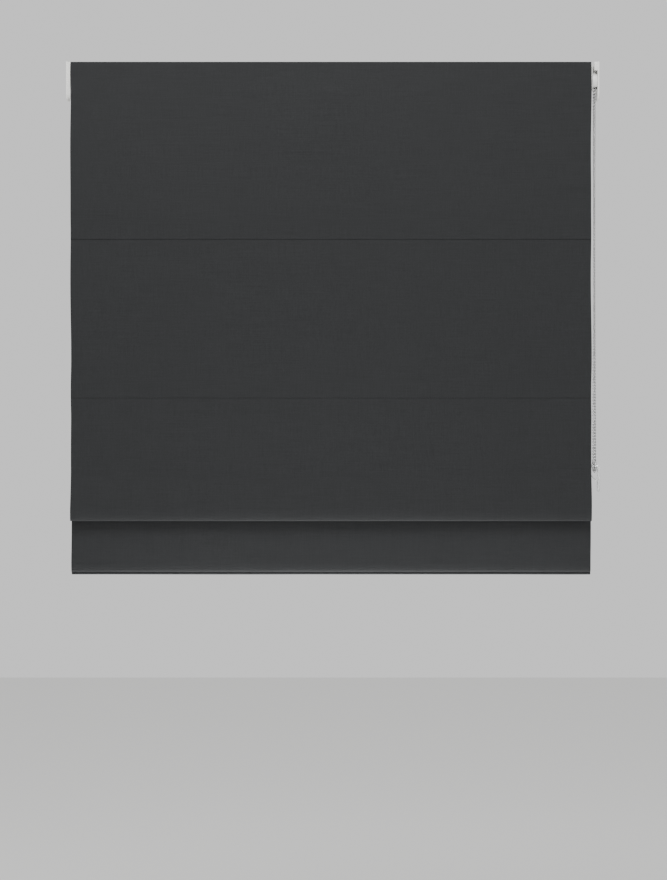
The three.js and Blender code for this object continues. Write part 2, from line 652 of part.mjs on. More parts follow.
put("chain_tidy_pulley", turnedWithLoop(turnedX([
  [axleRadius + gap, pulleyLeft], [pulleyRim, pulleyLeft],
  [pulleyGroove, pulleyLeft + 0.6], [pulleyGroove, pulleyRight - 0.6],
  [pulleyRim, pulleyRight], [axleRadius + gap, pulleyRight],
  [axleRadius + gap, pulleyLeft],
], loopBottomZ)), clearPlastic);
const axleHead = 1.5;
put("chain_tidy_axle", turnedWithLoop(joined(
  roundX(pulleyLeft - gap - axleHead, pulleyLeft - gap, shaftY, loopBottomZ, axleRadius + 1.5, 16),
  roundX(pulleyLeft - gap - 0.5, wallX - 2.2, shaftY, loopBottomZ, axleRadius, 16),
)), steel);
function tidyScrew() {
  const head = roundX(wallX - 4.2, wallX - 2.3, shaftY, tidyScrewZ, 3.4);
  return joined(head, roundX(wallX - 3, wallX - gap, shaftY, tidyScrewZ, 1.5));
}
put("chain_tidy_screw", tidyScrew(), steel);

export default blind;
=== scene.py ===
import json
import math

import bmesh
import bpy
import numpy as np
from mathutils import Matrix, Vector


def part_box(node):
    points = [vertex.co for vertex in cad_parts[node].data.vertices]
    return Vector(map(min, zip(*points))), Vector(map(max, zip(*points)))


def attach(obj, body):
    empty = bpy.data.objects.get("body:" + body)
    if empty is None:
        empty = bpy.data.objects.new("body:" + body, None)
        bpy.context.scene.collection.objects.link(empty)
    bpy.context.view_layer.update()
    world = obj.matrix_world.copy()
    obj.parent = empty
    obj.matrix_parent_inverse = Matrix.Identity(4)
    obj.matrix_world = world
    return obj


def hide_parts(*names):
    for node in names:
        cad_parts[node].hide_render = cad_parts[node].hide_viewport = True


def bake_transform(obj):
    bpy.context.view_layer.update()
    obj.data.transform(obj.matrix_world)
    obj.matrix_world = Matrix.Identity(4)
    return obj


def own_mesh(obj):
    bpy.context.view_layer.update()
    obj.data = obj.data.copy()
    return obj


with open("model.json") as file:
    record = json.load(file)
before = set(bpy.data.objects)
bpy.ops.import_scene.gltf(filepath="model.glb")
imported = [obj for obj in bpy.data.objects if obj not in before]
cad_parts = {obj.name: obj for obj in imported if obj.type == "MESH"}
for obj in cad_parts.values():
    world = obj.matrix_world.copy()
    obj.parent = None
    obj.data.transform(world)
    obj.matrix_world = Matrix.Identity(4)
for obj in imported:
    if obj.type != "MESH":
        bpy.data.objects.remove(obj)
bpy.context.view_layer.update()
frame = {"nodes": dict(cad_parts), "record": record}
nodes = frame["nodes"]
sides = ["left", "mid", "right"]

# camera: straight on, level with the middle of the blind, far enough for little perspective
view = {"distance": 5.0, "across": 0.0013, "height": -0.759, "tall": 1.765}
cameraData = bpy.data.cameras.new("Camera")
cameraData.sensor_width = 36
cameraData.lens = 36 * view["distance"] / view["tall"]
camera = bpy.data.objects.new("Camera", cameraData)
camera.location = (view["across"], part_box("panel_0")[0].y - view["distance"], view["height"])
camera.rotation_euler = (math.pi / 2, 0, 0)
bpy.context.scene.collection.objects.link(camera)
bpy.context.scene.camera = camera
print("camera ready")


def link(name, mesh):
    piece = bpy.data.objects.new(name, mesh)
    bpy.context.scene.collection.objects.link(piece)
    return piece


def fromArrays(name, points, faces):
    mesh = bpy.data.meshes.new(name)
    mesh.from_pydata([tuple(p) for p in points], [], [tuple(f) for f in faces])
    mesh.update()
    mesh.polygons.foreach_set("use_smooth", [True] * len(mesh.polygons))
    return link(name, mesh)


def paint(piece, *materials):
    piece.data.materials.clear()
    for material in materials:
        piece.data.materials.append(material)
    return piece


def sharpenEdges(mesh, angle):
    # smooth shading with creases kept where faces meet at more than the angle
    work = bmesh.new()
    work.from_mesh(mesh)
    for face in work.faces:
        face.smooth = True
    for edge in work.edges:
        edge.smooth = len(edge.link_faces) == 2 and edge.calc_face_angle(0) < angle
    work.to_mesh(mesh)
    work.free()


def refined(node, name, width, body, *materials):
    # a copy of a CAD piece with its flat faces cleaned and its edges rounded
    mesh = nodes[node].data.copy()
    mesh.name = name
    work = bmesh.new()
    work.from_mesh(mesh)
    bmesh.ops.remove_doubles(work, verts=work.verts, dist=1e-6)
    bmesh.ops.dissolve_limit(work, angle_limit=math.radians(1), verts=work.verts, edges=work.edges)
    work.to_mesh(mesh)
    work.free()
    piece = link(name, mesh)
    bevel = piece.modifiers.new("rounded", "BEVEL")
    bevel.width = width
    bevel.segments = 3
    bevel.limit_method = "ANGLE"
    bevel.angle_limit = math.radians(40)
    bevel.use_clamp_overlap = True
    evaluated = piece.evaluated_get(bpy.context.evaluated_depsgraph_get())
    piece.data = bpy.data.meshes.new_from_object(evaluated)
    piece.modifiers.clear()
    sharpenEdges(piece.data, math.radians(30))
    paint(piece, *materials)
    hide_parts(node)
    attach(piece, body)
    return piece


def turned(name, profile, centre, sides):
    # turns a closed loop of [radius, along] pairs about an upright axis through centre
    angles = np.linspace(0, 2 * math.pi, sides, endpoint=False)
    count = len(profile)
    points = []
    for a in angles:
        for radius, along in profile:
            points.append(centre + Vector((radius * math.cos(a), radius * math.sin(a), along)))
    faces = []
    for i in range(sides):
        j = (i + 1) % sides
        for k in range(count):
            m = (k + 1) % count
            faces.append((i * count + k, i * count + m, j * count + m, j * count + k))
    piece = fromArrays(name, points, faces)
    work = bmesh.new()
    work.from_mesh(piece.data)
    bmesh.ops.remove_doubles(work, verts=work.verts, dist=1e-7)
    bmesh.ops.recalc_face_normals(work, faces=work.faces)
    work.to_mesh(piece.data)
    work.free()
    sharpenEdges(piece.data, math.radians(35))
    return piece


def sweep(name, route, radius, sides=10, closed=False):
    # a round tube along a list of points, with rounded-off flat ends
    route = [Vector(p) for p in route]
    count = len(route)
    points, faces = [], []
    normal = Vector((1, 0, 0))
    for i, point in enumerate(route):
        before = route[(i - 1) % count] if closed or i else route[i]
        after = route[(i + 1) % count] if closed or i < count - 1 else route[i]
        along = (after - before).normalized()
        normal = (normal - along * normal.dot(along)).normalized()
        side = along.cross(normal)
        for s in range(sides):
            a = 2 * math.pi * s / sides
            points.append(point + (normal * math.cos(a) + side * math.sin(a)) * radius)
    for i in range(count if closed else count - 1):
        for s in range(sides):
            t = (s + 1) % sides
            j = (i + 1) % count
            faces.append((i * sides + s, i * sides + t, j * sides + t, j * sides + s))
    if not closed:
        faces.append(tuple(range(sides - 1, -1, -1)))
        faces.append(tuple((count - 1) * sides + s for s in range(sides)))
    return fromArrays(name, points, faces)


def newGroup(name, inputs, outputs):
    group = bpy.data.node_groups.new(name, "ShaderNodeTree")
    for label, value in inputs:
        socket = group.interface.new_socket(name=label, in_out="INPUT", socket_type="NodeSocketFloat")
        socket.default_value = value
    for label, kind in outputs:
        group.interface.new_socket(name=label, in_out="OUTPUT", socket_type=kind)
    return group, group.nodes.new("NodeGroupInput"), group.nodes.new("NodeGroupOutput")


def mathNode(tree, operation, first, second=None, third=None):
    node = tree.nodes.new("ShaderNodeMath")
    node.operation = operation
    for i, value in enumerate((first, second, third)):
        if value is None:
            continue
        if isinstance(value, (int, float)):
            node.inputs[i].default_value = value
        else:
            tree.links.new(value, node.inputs[i])
    return node.outputs[0]


def noiseNode(tree, vector, scale, detail=2.0, roughness=0.5):
    node = tree.nodes.new("ShaderNodeTexNoise")
    tree.links.new(vector, node.inputs["Vector"])
    if isinstance(scale, (int, float)):
        node.inputs["Scale"].default_value = scale
    else:
        tree.links.new(scale, node.inputs["Scale"])
    node.inputs["Detail"].default_value = detail
    node.inputs["Roughness"].default_value = roughness
    return node.outputs["Fac"]


def stretched(tree, vector, factors):
    node = tree.nodes.new("ShaderNodeMapping")
    node.inputs["Scale"].default_value = factors
    tree.links.new(vector, node.inputs["Vector"])
    return node.outputs["Vector"]


def objectPlace(tree):
    return tree.nodes.new("ShaderNodeTexCoord").outputs["Object"]


def makeWeaveGroup():
    # plain weave: warp down the cloth, weft across it, with slubs and loose fibre
    inputs = [("Pitch", 0.0007), ("Slub", 0.5), ("Fibre", 0.5)]
    outputs = [("Height", "NodeSocketFloat"), ("Tone", "NodeSocketFloat")]
    tree, given, out = newGroup("PlainWeave", inputs, outputs)
    place = objectPlace(tree)
    split = tree.nodes.new("ShaderNodeSeparateXYZ")
    tree.links.new(place, split.inputs[0])
    down = mathNode(tree, "ADD", split.outputs["Z"], split.outputs["Y"])
    turn = mathNode(tree, "DIVIDE", math.pi, given.outputs["Pitch"])
    drift = noiseNode(tree, stretched(tree, place, (30, 30, 30)), 1.0, 1.0)
    warpAngle = mathNode(tree, "ADD", mathNode(tree, "MULTIPLY", split.outputs["X"], turn),
                         mathNode(tree, "MULTIPLY", drift, 3.0))
    weftAngle = mathNode(tree, "ADD", mathNode(tree, "MULTIPLY", down, turn),
                         mathNode(tree, "MULTIPLY", drift, 2.0))
    warp = mathNode(tree, "SINE", warpAngle)
    weft = mathNode(tree, "SINE", weftAngle)
    over = mathNode(tree, "MULTIPLY_ADD", mathNode(tree, "MULTIPLY", warp, weft), 0.5, 0.5)
    ridgeWarp = mathNode(tree, "ABSOLUTE", warp)
    ridgeWeft = mathNode(tree, "ABSOLUTE", weft)
    keepWarp = mathNode(tree, "MULTIPLY", ridgeWarp, over)
    keepWeft = mathNode(tree, "MULTIPLY", ridgeWeft, mathNode(tree, "SUBTRACT", 1.0, over))
    threads = mathNode(tree, "ADD", keepWarp, keepWeft)
    slubAcross = noiseNode(tree, stretched(tree, place, (18, 900, 900)), 1.0, 2.0)
    slubDown = noiseNode(tree, stretched(tree, place, (900, 40, 25)), 1.0, 2.0)
    slub = mathNode(tree, "ADD", mathNode(tree, "SUBTRACT", slubAcross, 0.5),
                    mathNode(tree, "SUBTRACT", slubDown, 0.5))
    fibre = mathNode(tree, "SUBTRACT", noiseNode(tree, stretched(tree, place, (420, 420, 420)), 1.0, 3.0), 0.5)
    lumps = mathNode(tree, "ADD", mathNode(tree, "MULTIPLY", slub, given.outputs["Slub"]),
                     mathNode(tree, "MULTIPLY", fibre, given.outputs["Fibre"]))
    height = mathNode(tree, "ADD", threads, lumps)
    tone = mathNode(tree, "ADD", mathNode(tree, "MULTIPLY_ADD", threads, 0.35, 0.8), lumps)
    tree.links.new(height, out.inputs["Height"])
    tree.links.new(tone, out.inputs["Tone"])
    return tree


def makeGrainGroup():
    # fine moulding or casting grain, with slow unevenness
    inputs = [("Size", 900.0), ("Unevenness", 0.5)]
    outputs = [("Height", "NodeSocketFloat"), ("Tone", "NodeSocketFloat")]
    tree, given, out = newGroup("FineGrain", inputs, outputs)
    place = objectPlace(tree)
    fine = noiseNode(tree, place, given.outputs["Size"], 3.0)
    slow = noiseNode(tree, place, 35.0, 2.0)
    swing = mathNode(tree, "MULTIPLY", mathNode(tree, "SUBTRACT", slow, 0.5), given.outputs["Unevenness"])
    tree.links.new(mathNode(tree, "ADD", fine, swing), out.inputs["Height"])
    tree.links.new(mathNode(tree, "ADD", mathNode(tree, "MULTIPLY_ADD", fine, 0.2, 0.9), swing),
                   out.inputs["Tone"])
    return tree


def makeDrawnGroup():
    # long fine lines left along X by an extrusion die or a drawing die
    inputs = [("Lines", 2600.0), ("Length", 6.0)]
    outputs = [("Height", "NodeSocketFloat"), ("Tone", "NodeSocketFloat")]
    tree, given, out = newGroup("DrawnLines", inputs, outputs)
    split = tree.nodes.new("ShaderNodeSeparateXYZ")
    tree.links.new(objectPlace(tree), split.inputs[0])
    joinAxes = tree.nodes.new("ShaderNodeCombineXYZ")
    tree.links.new(mathNode(tree, "MULTIPLY", split.outputs["X"], given.outputs["Length"]), joinAxes.inputs[0])
    tree.links.new(mathNode(tree, "MULTIPLY", split.outputs["Y"], given.outputs["Lines"]), joinAxes.inputs[1])
    tree.links.new(mathNode(tree, "MULTIPLY", split.outputs["Z"], given.outputs["Lines"]), joinAxes.inputs[2])
    lines = noiseNode(tree, joinAxes.outputs[0], 1.0, 2.0)
    tree.links.new(lines, out.inputs["Height"])
    tree.links.new(mathNode(tree, "MULTIPLY_ADD", lines, 0.3, 0.85), out.inputs["Tone"])
    return tree


def makeWearGroup():
    # a mask that is high on rubbed outer edges
    inputs = [("Amount", 0.5)]
    outputs = [("Mask", "NodeSocketFloat")]
    tree, given, out = newGroup("EdgeWear", inputs, outputs)
    geometry = tree.nodes.new("ShaderNodeNewGeometry")
    place = objectPlace(tree)
    edge = mathNode(tree, "SUBTRACT", geometry.outputs["Pointiness"], 0.52)
    patches = noiseNode(tree, place, 240.0, 3.0)
    mask = mathNode(tree, "MULTIPLY", mathNode(tree, "MULTIPLY", edge, 12.0), patches)
    limited = tree.nodes.new("ShaderNodeClamp")
    tree.links.new(mathNode(tree, "MULTIPLY", mask, given.outputs["Amount"]), limited.inputs[0])
    tree.links.new(limited.outputs[0], out.inputs["Mask"])
    return tree


weaveGroup = makeWeaveGroup()
grainGroup = makeGrainGroup()
drawnGroup = makeDrawnGroup()
wearGroup = makeWearGroup()


def startMaterial(name):
    material = bpy.data.materials.new(name)
    material.use_nodes = True
    tree = material.node_tree
    return material, tree, tree.nodes["Principled BSDF"]


def useGroup(tree, group, **values):
    node = tree.nodes.new("ShaderNodeGroup")
    node.node_tree = group
    for label, value in values.items():
        node.inputs[label].default_value = value
    return node


def shaded(tree, shader, colour, tone):
    # base colour times a tone that varies over the surface
    mix = tree.nodes.new("ShaderNodeMix")
    mix.data_type = "RGBA"
    mix.blend_type = "MULTIPLY"
    mix.inputs["Factor"].default_value = 1.0
    mix.inputs["A"].default_value = (*colour, 1)
    tree.links.new(tone, mix.inputs["B"])
    tree.links.new(mix.outputs["Result"], shader.inputs["Base Color"])


def bumped(tree, shader, height, strength, distance):
    bump = tree.nodes.new("ShaderNodeBump")
    bump.inputs["Strength"].default_value = strength
    bump.inputs["Distance"].default_value = distance
    tree.links.new(height, bump.inputs["Height"])
    tree.links.new(bump.outputs["Normal"], shader.inputs["Normal"])


def clothMaterial(name, settings):
    material, tree, shader = startMaterial(name)
    weave = useGroup(tree, weaveGroup, Pitch=settings["pitch"], Slub=settings["slub"],
                     Fibre=settings["fibre"])
    slow = noiseNode(tree, objectPlace(tree), 7.0, 2.0)
    cloud = mathNode(tree, "MULTIPLY_ADD", slow, settings["cloud"], 1 - settings["cloud"] / 2)
    mottle = noiseNode(tree, objectPlace(tree), settings["mottleScale"], 2.0)
    mottled = mathNode(tree, "MULTIPLY_ADD", mottle, settings["mottle"], 1 - settings["mottle"] / 2)
    tone = mathNode(tree, "MULTIPLY", mathNode(tree, "MULTIPLY", weave.outputs["Tone"], cloud), mottled)
    shaded(tree, shader, settings["colour"], tone)
    bumped(tree, shader, weave.outputs["Height"], settings["bump"], settings["pitch"] * 0.5)
    shader.inputs["Roughness"].default_value = settings["roughness"]
    shader.inputs["Sheen Weight"].default_value = settings["sheen"]
    shader.inputs["Sheen Roughness"].default_value = 0.35
    shader.inputs["Sheen Tint"].default_value = settings["sheenTint"]
    shader.inputs["Specular IOR Level"].default_value = settings["specular"]
    return material


def plasticMaterial(name, settings):
    material, tree, shader = startMaterial(name)
    grain = useGroup(tree, grainGroup, Size=settings["grain"], Unevenness=0.12)
    shaded(tree, shader, settings["colour"], grain.outputs["Tone"])
    bumped(tree, shader, grain.outputs["Height"], settings["bump"], 0.0002)
    wear = useGroup(tree, wearGroup, Amount=0.6)
    rough = mathNode(tree, "MULTIPLY_ADD", wear.outputs["Mask"], -0.12, settings["roughness"])
    tree.links.new(rough, shader.inputs["Roughness"])
    if "transmission" in settings:
        shader.inputs["Transmission Weight"].default_value = settings["transmission"]
        shader.inputs["IOR"].default_value = 1.46
    return material


def metalMaterial(name, settings):
    material, tree, shader = startMaterial(name)
    if settings["drawn"]:
        pattern = useGroup(tree, drawnGroup, Lines=settings["grain"], Length=5.0)
    else:
        pattern = useGroup(tree, grainGroup, Size=settings["grain"], Unevenness=0.25)
    shaded(tree, shader, settings["colour"], pattern.outputs["Tone"])
    bumped(tree, shader, pattern.outputs["Height"], settings["bump"], 0.0001)
    wear = useGroup(tree, wearGroup, Amount=0.8)
    rough = mathNode(tree, "MULTIPLY_ADD", pattern.outputs["Height"], 0.18, settings["roughness"] - 0.09)
    worn = mathNode(tree, "MULTIPLY_ADD", wear.outputs["Mask"], -0.1, rough)
    tree.links.new(worn, shader.inputs["Roughness"])
    shader.inputs["Metallic"].default_value = 1.0
    return material


faceCloth = clothMaterial("faceCloth", {
    "colour": (0.0138, 0.0146, 0.0154), "pitch": 0.00062, "slub": 0.5, "fibre": 0.55, "cloud": 0.06,
    "mottle": 0.16, "mottleScale": 260.0, "bump": 0.45, "roughness": 0.7, "sheen": 0.07,
    "sheenTint": (0.86, 0.93, 1.0, 1), "specular": 0.2,
})
liningCloth = clothMaterial("liningCloth", {
    "colour": (0.54, 0.52, 0.475), "pitch": 0.0005, "slub": 0.14, "fibre": 0.12, "cloud": 0.05,
    "mottle": 0.05, "mottleScale": 180.0, "bump": 0.3, "roughness": 0.88, "sheen": 0.1,
    "sheenTint": (1, 1, 1, 1), "specular": 0.25,
})
tapeCloth = clothMaterial("tapeCloth", {
    "colour": (0.66, 0.655, 0.62), "pitch": 0.0009, "slub": 0.3, "fibre": 0.9, "cloud": 0.04,
    "mottle": 0.2, "mottleScale": 700.0, "bump": 0.9, "roughness": 0.95, "sheen": 0.3,
    "sheenTint": (1, 1, 1, 1), "specular": 0.2,
})
cordCloth = clothMaterial("cordCloth", {
    "colour": (0.84, 0.83, 0.80), "pitch": 0.00045, "slub": 0.1, "fibre": 0.3, "cloud": 0.03,
    "mottle": 0.08, "mottleScale": 900.0, "bump": 0.9, "roughness": 0.8, "sheen": 0.1,
    "sheenTint": (1, 1, 1, 1), "specular": 0.3,
})
paleThread = clothMaterial("paleThread", {
    "colour": (0.62, 0.6, 0.55), "pitch": 0.0002, "slub": 0.1, "fibre": 0.3, "cloud": 0.02,
    "mottle": 0.1, "mottleScale": 900.0, "bump": 0.6, "roughness": 0.6, "sheen": 0.1,
    "sheenTint": (1, 1, 1, 1), "specular": 0.4,
})
whitePlastic = plasticMaterial("whitePlastic", {
    "colour": (0.62, 0.62, 0.6), "grain": 2400.0, "bump": 0.12, "roughness": 0.42})
clearPlastic = plasticMaterial("clearPlastic", {
    "colour": (0.86, 0.87, 0.86), "grain": 900.0, "bump": 0.05, "roughness": 0.16, "transmission": 0.65})
railMetal = metalMaterial("railMetal", {
    "colour": (0.66, 0.67, 0.68), "grain": 2400.0, "bump": 0.2, "roughness": 0.36, "drawn": True})
zincMetal = metalMaterial("zincMetal", {
    "colour": (0.58, 0.59, 0.6), "grain": 700.0, "bump": 0.15, "roughness": 0.34, "drawn": False})
springMetal = metalMaterial("springMetal", {
    "colour": (0.3, 0.3, 0.31), "grain": 900.0, "bump": 0.1, "roughness": 0.3, "drawn": False})
beadMetal = metalMaterial("beadMetal", {
    "colour": (0.4, 0.4, 0.405), "grain": 1500.0, "bump": 0.05, "roughness": 0.24, "drawn": False})
glassRod = plasticMaterial("glassRod", {
    "colour": (0.7, 0.69, 0.62), "grain": 1500.0, "bump": 0.2, "roughness": 0.4})
print("materials ready")


cloth = {
    "thickness": 0.0007, "pressedThickness": 0.0004, "hemExtra": 0.0003, "hemWidth": 0.034,
    "columnStep": 0.0075, "rowStep": 0.003, "fadeLength": 0.05, "flatEnd": 0.018,
    "billow": 0.0005, "creaseHeight": 0.00022, "creaseWidth": 0.0035, "pucker": 0.0005,
    "puckerWide": 0.028, "puckerTall": 0.009, "hemStep": 0.0005, "creaseWander": 0.0008,
    "curl": 0.0006, "curlWidth": 0.012, "swayBroad": 0.0007, "swayFine": 0.0004, "swayWidth": 0.03,
    "stitchPitch": 0.0042, "stitchLength": 0.0028, "stitchRadius": 0.00022,
}
backGrids = {}
bodyOf = {node: body for body, held in frame["record"]["behaviour"]["bodies"].items() for node in held}
clothLeft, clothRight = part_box("panel_0")[0].x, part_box("panel_0")[1].x
sections = ["head", "section_1", "section_2", "section_3", "flap"]


def middle(node):
    low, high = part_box(node)
    return (low + high) / 2


planes = [middle(f"panel_{k}").y for k in (0, 1, 2)]
rodHeights = [0.0] + [middle(f"rod_{k}").z for k in (1, 2, 3, 4)]
seamInset = cloth["hemWidth"]


def smooth(t):
    t = np.clip(t, 0, 1)
    return t * t * (3 - 2 * t)


def billow(x, z, seed):
    # the slow unevenness that hanging cloth keeps
    broad = np.sin(x * 9.1 + seed) * np.sin(z * 6.3 + 1.7 * seed)
    upright = 0.6 * np.sin(x * 17.3 + 2.3 * seed + 3 * z)
    small = 0.35 * np.sin(x * 31.0 + 5 * seed) * np.sin(z * 23.0 + seed)
    return broad + upright + small


def resample(path, step):
    points = np.array(path, float)
    spans = np.linalg.norm(np.diff(points, axis=0), axis=1)
    along = np.concatenate([[0], np.cumsum(spans)])
    at = np.linspace(0, along[-1], max(int(along[-1] / step), 2) + 1)
    return np.stack([np.interp(at, along, points[:, i]) for i in (0, 1)], axis=1)


def arcRun(y, z, radius, start, end, steps):
    return [(y + radius * math.cos(a), z + radius * math.sin(a))
            for a in np.linspace(start, end, steps + 1)]


def easedRun(first, last, step=cloth["rowStep"]):
    shares = np.linspace(0, 1, max(int(math.dist(first, last) / step), 2) + 1)
    return [(first[0] + (last[0] - first[0]) * float(smooth(s)), first[1] + (last[1] - first[1]) * s)
            for s in shares]


def joinRuns(*runs):
    points = []
    for p in (p for run in runs for p in run):
        if not points or math.dist(points[-1], p) > 2e-5:
            points.append(p)
    return points


# The path runs down the cloth as (y, z) points, with the room side on its right.
def clothSheet(name, path, seed, creases=(), narrow=0.0, dimples=(), plainTop=0.0):
    points = np.array(path, float)
    along = np.gradient(points, axis=0)
    along /= np.linalg.norm(along, axis=1)[:, None]
    count = int((clothRight - clothLeft) / cloth["columnStep"])
    across = np.linspace(clothLeft + narrow, clothRight - narrow, count + 1)
    hemAt = [across[0] + seamInset, across[-1] - seamInset]
    across = np.sort(np.concatenate([across, [at + shift for at in hemAt
                                              for shift in (-cloth["hemStep"], cloth["hemStep"])]]))
    x, z = np.meshgrid(across, points[:, 1])
    y = np.repeat(points[:, :1], len(across), axis=1)
    outY = np.repeat(along[:, 1:], len(across), axis=1)
    outZ = np.repeat(-along[:, :1], len(across), axis=1)
    spans = np.linalg.norm(np.diff(points, axis=0), axis=1)
    run = np.concatenate([[0], np.cumsum(spans)])
    fromTop, fromFoot = run - cloth["flatEnd"], run[-1] - run - cloth["flatEnd"]
    fade = (smooth(fromTop / cloth["fadeLength"]) * smooth(fromFoot / cloth["fadeLength"]))[:, None]
    lift = cloth["billow"] * billow(x, z, seed) * fade
    for height, depth in creases:
        line = np.exp(-((z - height + cloth["creaseWander"] * np.sin(x * 14 + seed)) / cloth["creaseWidth"]) ** 2)
        lift += depth * line * (0.55 + 0.45 * np.sin(x * 7 + 3 * seed + height * 40)) * fade
    for placeX, placeZ in dimples:
        lift += cloth["pucker"] * fade * np.exp(-((x - placeX) / cloth["puckerWide"]) ** 2
                                                - ((z - placeZ) / cloth["puckerTall"]) ** 2)
    edge = np.minimum(x - across[0], across[-1] - x)
    lift -= cloth["curl"] * np.exp(-edge / cloth["curlWidth"]) * (0.6 + 0.4 * np.sin(z * 21 + seed)) * fade
    sway = cloth["swayBroad"] * np.sin(z * 11 + seed) + cloth["swayFine"] * np.sin(z * 27 + 2 * seed)
    x = x + sway * np.exp(-edge / cloth["swayWidth"]) * fade
    hem = (1 - smooth((edge - seamInset) / 0.001)) * fade
    thick = cloth["pressedThickness"] + (cloth["thickness"] - cloth["pressedThickness"]) * fade
    outer = lift + thick / 2
    inner = lift - thick / 2 - cloth["hemExtra"] * hem
    front = np.stack([x, y + outY * outer, z + outZ * outer], -1)
    back = np.stack([x, y + outY * inner, z + outZ * inner], -1)
    grid = np.arange(x.size).reshape(x.shape)
    a, b = grid[:-1, :-1].ravel(), grid[:-1, 1:].ravel()
    c, d = grid[1:, 1:].ravel(), grid[1:, :-1].ravel()
    rim = np.concatenate([grid[0, :], grid[1:, -1], grid[-1, -2::-1], grid[-2:0:-1, 0]])
    after = np.roll(rim, -1)
    faces = np.concatenate([np.stack([a, d, c, b], 1), np.stack([a, b, c, d], 1) + x.size,
                            np.stack([after, rim, rim + x.size, after + x.size], 1)])
    vertices = np.concatenate([front.reshape(-1, 3), back.reshape(-1, 3)])
    piece = fromArrays(name, vertices, faces.tolist())
    paint(piece, faceCloth, liningCloth)
    slots = np.zeros(len(faces), int)
    lined = ((edge[:-1, :-1] + edge[1:, 1:]) / 2 > seamInset) & (run[:-1, None] >= plainTop)
    slots[len(a):2 * len(a)] = lined.ravel()   # a turned top edge has no lining
    piece.data.polygons.foreach_set("material_index", slots)
    smoothFaces = np.arange(len(faces)) < 2 * len(a)
    piece.data.polygons.foreach_set("use_smooth", smoothFaces)
    sharpenEdges(piece.data, math.radians(50))
    backGrids[name] = back
    return piece


# Small dashes of thread lie on the window side of both side hems and move as their cloth does.
def stitchHems(name):
    grid = backGrids[name]
    points, faces = [], []
    radius, length = cloth["stitchRadius"], cloth["stitchLength"]
    for target in (clothLeft + seamInset - 0.003, clothRight - seamInset + 0.003):
        column = int(np.argmin(np.abs(grid[len(grid) // 2, :, 0] - target)))
        line = grid[:, column]
        run = np.concatenate([[0], np.cumsum(np.linalg.norm(np.diff(line, axis=0), axis=1))])
        for at in np.arange(0.002, run[-1] - 0.004, cloth["stitchPitch"]):
            first, last = (Vector([np.interp(v, run, line[:, i]) for i in range(3)])
                           for v in (at, at + length))
            along = (last - first).normalized()
            across = Vector((1, 0, 0))
            proud = along.cross(across)
            base = len(points)
            for share, size in ((0, 0.25), (0.25, 1), (0.75, 1), (1, 0.25)):
                centre = first.lerp(last, share)
                for a in np.linspace(0, 2 * math.pi, 6, endpoint=False):
                    points.append(centre + (across * math.cos(a) + proud * math.sin(a)) * radius * size)
            for r in range(3):
                for i in range(6):
                    j = (i + 1) % 6
                    low, high = base + r * 6, base + (r + 1) * 6
                    faces.append((low + i, low + j, high + j, high + i))
            faces.append(tuple(base + i for i in reversed(range(6))))
            faces.append(tuple(base + 18 + i for i in range(6)))
    return paint(fromArrays(name.replace("cloth", "stitches"), points, faces), paleThread)


# Sections 0 and 1 hang straight. The lower edge of each is pressed round in front of its rod,
# and a short layer of cloth stands behind it.
pressed = {
    "radius": 0.000225, "clearBelow": 0.0065, "growth": 0.003, "bendLength": {0: None, 1: 0.24},
    "easeRun": 0.07, "under": 0.006, "backTop": 0.004, "lap": 0.0092, "tuck": 0.001, "stripStep": 0.0004,
}
memoryCreases = {0: [-0.179, -0.211], 1: [-0.512, -0.540], 2: [-0.804, -0.828]}
puckers = {0: [(-0.365, -0.060), (-0.165, -0.060), (0.0, -0.060), (0.175, -0.060), (0.335, -0.060)],
           2: [(-0.055, -0.808), (0.12, -0.808), (0.43, -0.808)]}
for k in (0, 1):
    rod, y, radius = rodHeights[k + 1], planes[k], pressed["radius"]
    backY = planes[k + 1] - 2 * radius
    edgeY = backY - 2 * radius
    top = -0.0004 if k == 0 else rodHeights[k] + pressed["lap"]
    low = rod - pressed["under"]
    stripLow, stripTop = low + pressed["backTop"], rod + pressed["lap"] - pressed["tuck"]
    path = joinRuns(resample([(y, top), (y, low + pressed["easeRun"])], cloth["rowStep"]),
                    easedRun((y, low + pressed["easeRun"]), (edgeY, low + radius)),
                    arcRun(edgeY + radius, low + radius, radius, math.pi, 2 * math.pi, 8),
                    [(backY, stripLow)])
    if k == 1:
        path = joinRuns([(y - 2 * radius, top - pressed["tuck"])],
                        arcRun(y - radius, top, radius, math.pi, 0, 6), path)
    marks = [(z, cloth["creaseHeight"]) for z in memoryCreases[k]] + [(rod, 0.0003)]
    front = clothSheet(f"cloth_front_{k}", path, 1.3 + k, marks, 0.0, puckers.get(k, ()))
    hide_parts(f"panel_{k}", f"draw_{k}", f"crease_{k}")
    for piece in (front, stitchHems(f"cloth_front_{k}")):
        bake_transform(piece)
    stripPath = resample([(backY, stripLow), (backY, stripTop)], pressed["stripStep"])
    strip = clothSheet(f"cloth_back_{k}", stripPath, 2.1 + k)
    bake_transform(strip)
print("straight sections ready")

# Sections 2 and 3 hang in folds: down the front, round the bend, and up behind to the next rod.
hairpin = {"radius": 0.0013, "foot": 0.004, "turned": 0.0078}
folds = {2: {"narrow": 0.0, "flare": 0.017, "bendLength": 0.155},
         3: {"narrow": 0.0008, "flare": 0.017, "bendLength": None}}
flapPlane = middle("bottom_bar").y
panelPlane3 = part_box("panel_3")[1].y - cloth["thickness"]
overPlanes = {3: panelPlane3, 4: flapPlane}
overTops = {3: rodHeights[3] + 0.001, 4: rodHeights[4] + 0.001}


def overRod(k):
    # the cloth comes up from behind the fold and turns down over the rod
    y, z, radius = overPlanes[k], overTops[k], hairpin["radius"]
    return joinRuns([(y - 2 * radius, z - hairpin["foot"])], arcRun(y - radius, z, radius, math.pi, 0, 8),
                    [(y, z - hairpin["foot"])])


